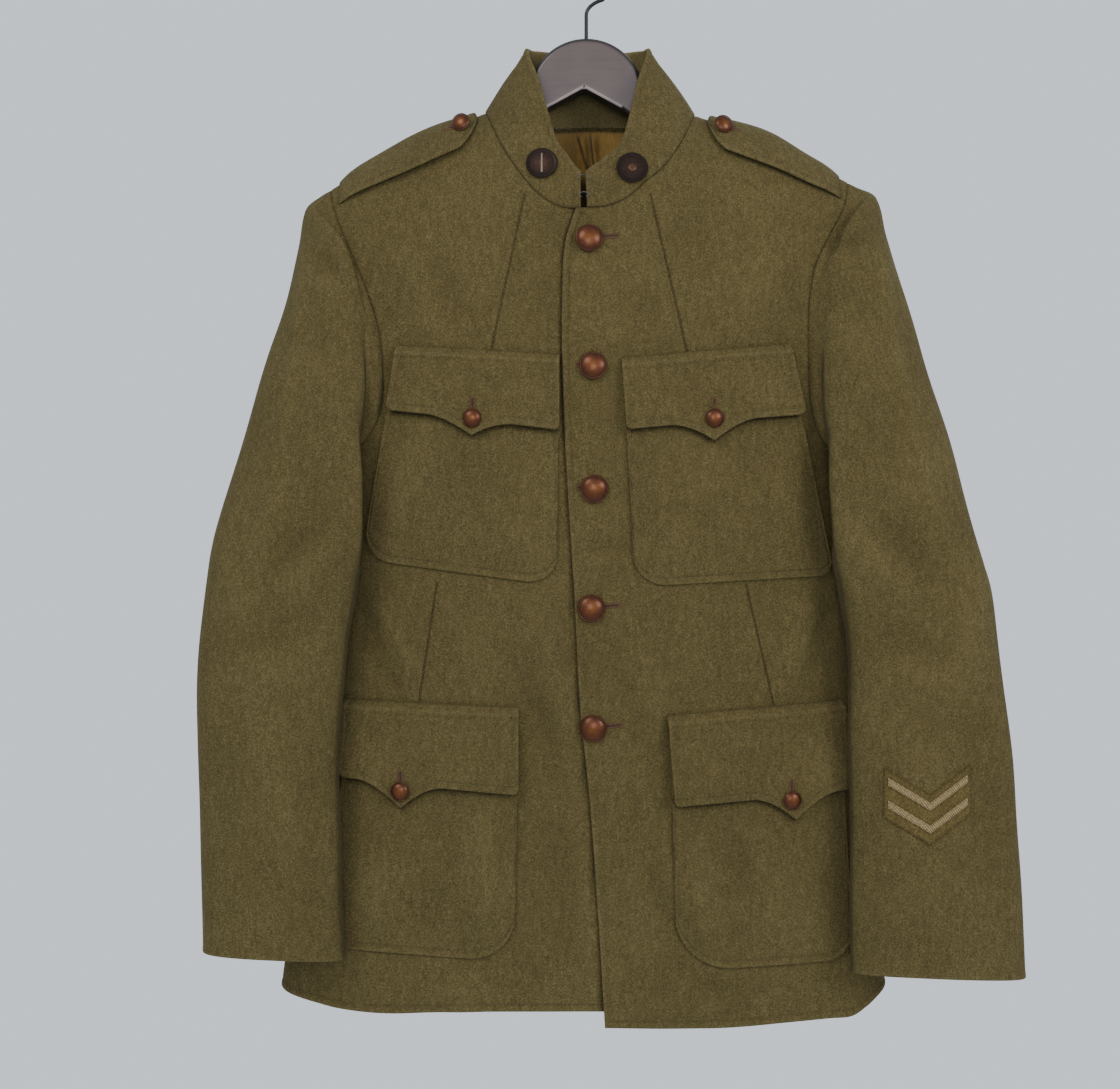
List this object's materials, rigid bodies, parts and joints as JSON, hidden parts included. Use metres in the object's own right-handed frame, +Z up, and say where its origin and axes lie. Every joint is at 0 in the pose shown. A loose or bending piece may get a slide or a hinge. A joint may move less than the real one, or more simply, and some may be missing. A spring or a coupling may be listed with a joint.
{
  "type": "military service coat on a wooden hanger",
  "caption": "Wool service coat with stand collar, patch pockets with pointed flaps, shoulder straps and domed buttons, hung on a wooden hanger with a wire hook.",
  "frame": {"origin": "top of the inside of the hanger hook, where it hangs on a rail", "axes": "+Z up along the hook's stem and the coat's length, -Y out of the coat's front, +X towards the wearer's left"},
  "size_m": [0.6637, 0.118, 0.8754],
  "materials": {
    "wool": "heathered olive-brown wool serge, napped",
    "lining": "gold-brown satin lining",
    "bronze": "worn reddish bronze",
    "dark_bronze": "blackened bronze",
    "steel": "nickelled wire",
    "tape": "tan woven tape",
    "wood": "satin purplish-brown lacquer",
    "black_wire": "black enamelled wire"
  },
  "bodies": {
    "root": {"back": "wool", "button_front_1": "bronze", "button_front_2": "bronze", "button_front_3": "bronze", "button_front_4": "bronze", "button_front_5": "bronze", "button_lower_left": "bronze", "button_lower_right": "bronze", "button_strap_left": "bronze", "button_strap_right": "bronze", "button_upper_left": "bronze", "button_upper_right": "bronze", "chevron_backing": "wool", "chevron_lower": "tape", "chevron_upper": "tape", "collar": "wool", "collar_hook_1": "steel", "collar_hook_2": "steel", "disc_left": "dark_bronze", "disc_right": "dark_bronze", "flap_lower_left": "wool", "flap_lower_right": "wool", "flap_upper_left": "wool", "flap_upper_right": "wool", "front_left": "wool", "front_right": "wool", "hanger": "wood", "hanger_hook": "black_wire", "lining_back": "lining", "pocket_lower_left": "wool", "pocket_lower_right": "wool", "pocket_upper_left": "wool", "pocket_upper_right": "wool", "strap_left": "wool", "strap_right": "wool", "topsleeve_left": "wool", "topsleeve_right": "wool", "undersleeve_left": "wool", "undersleeve_right": "wool"}
  },
  "joints": []
}
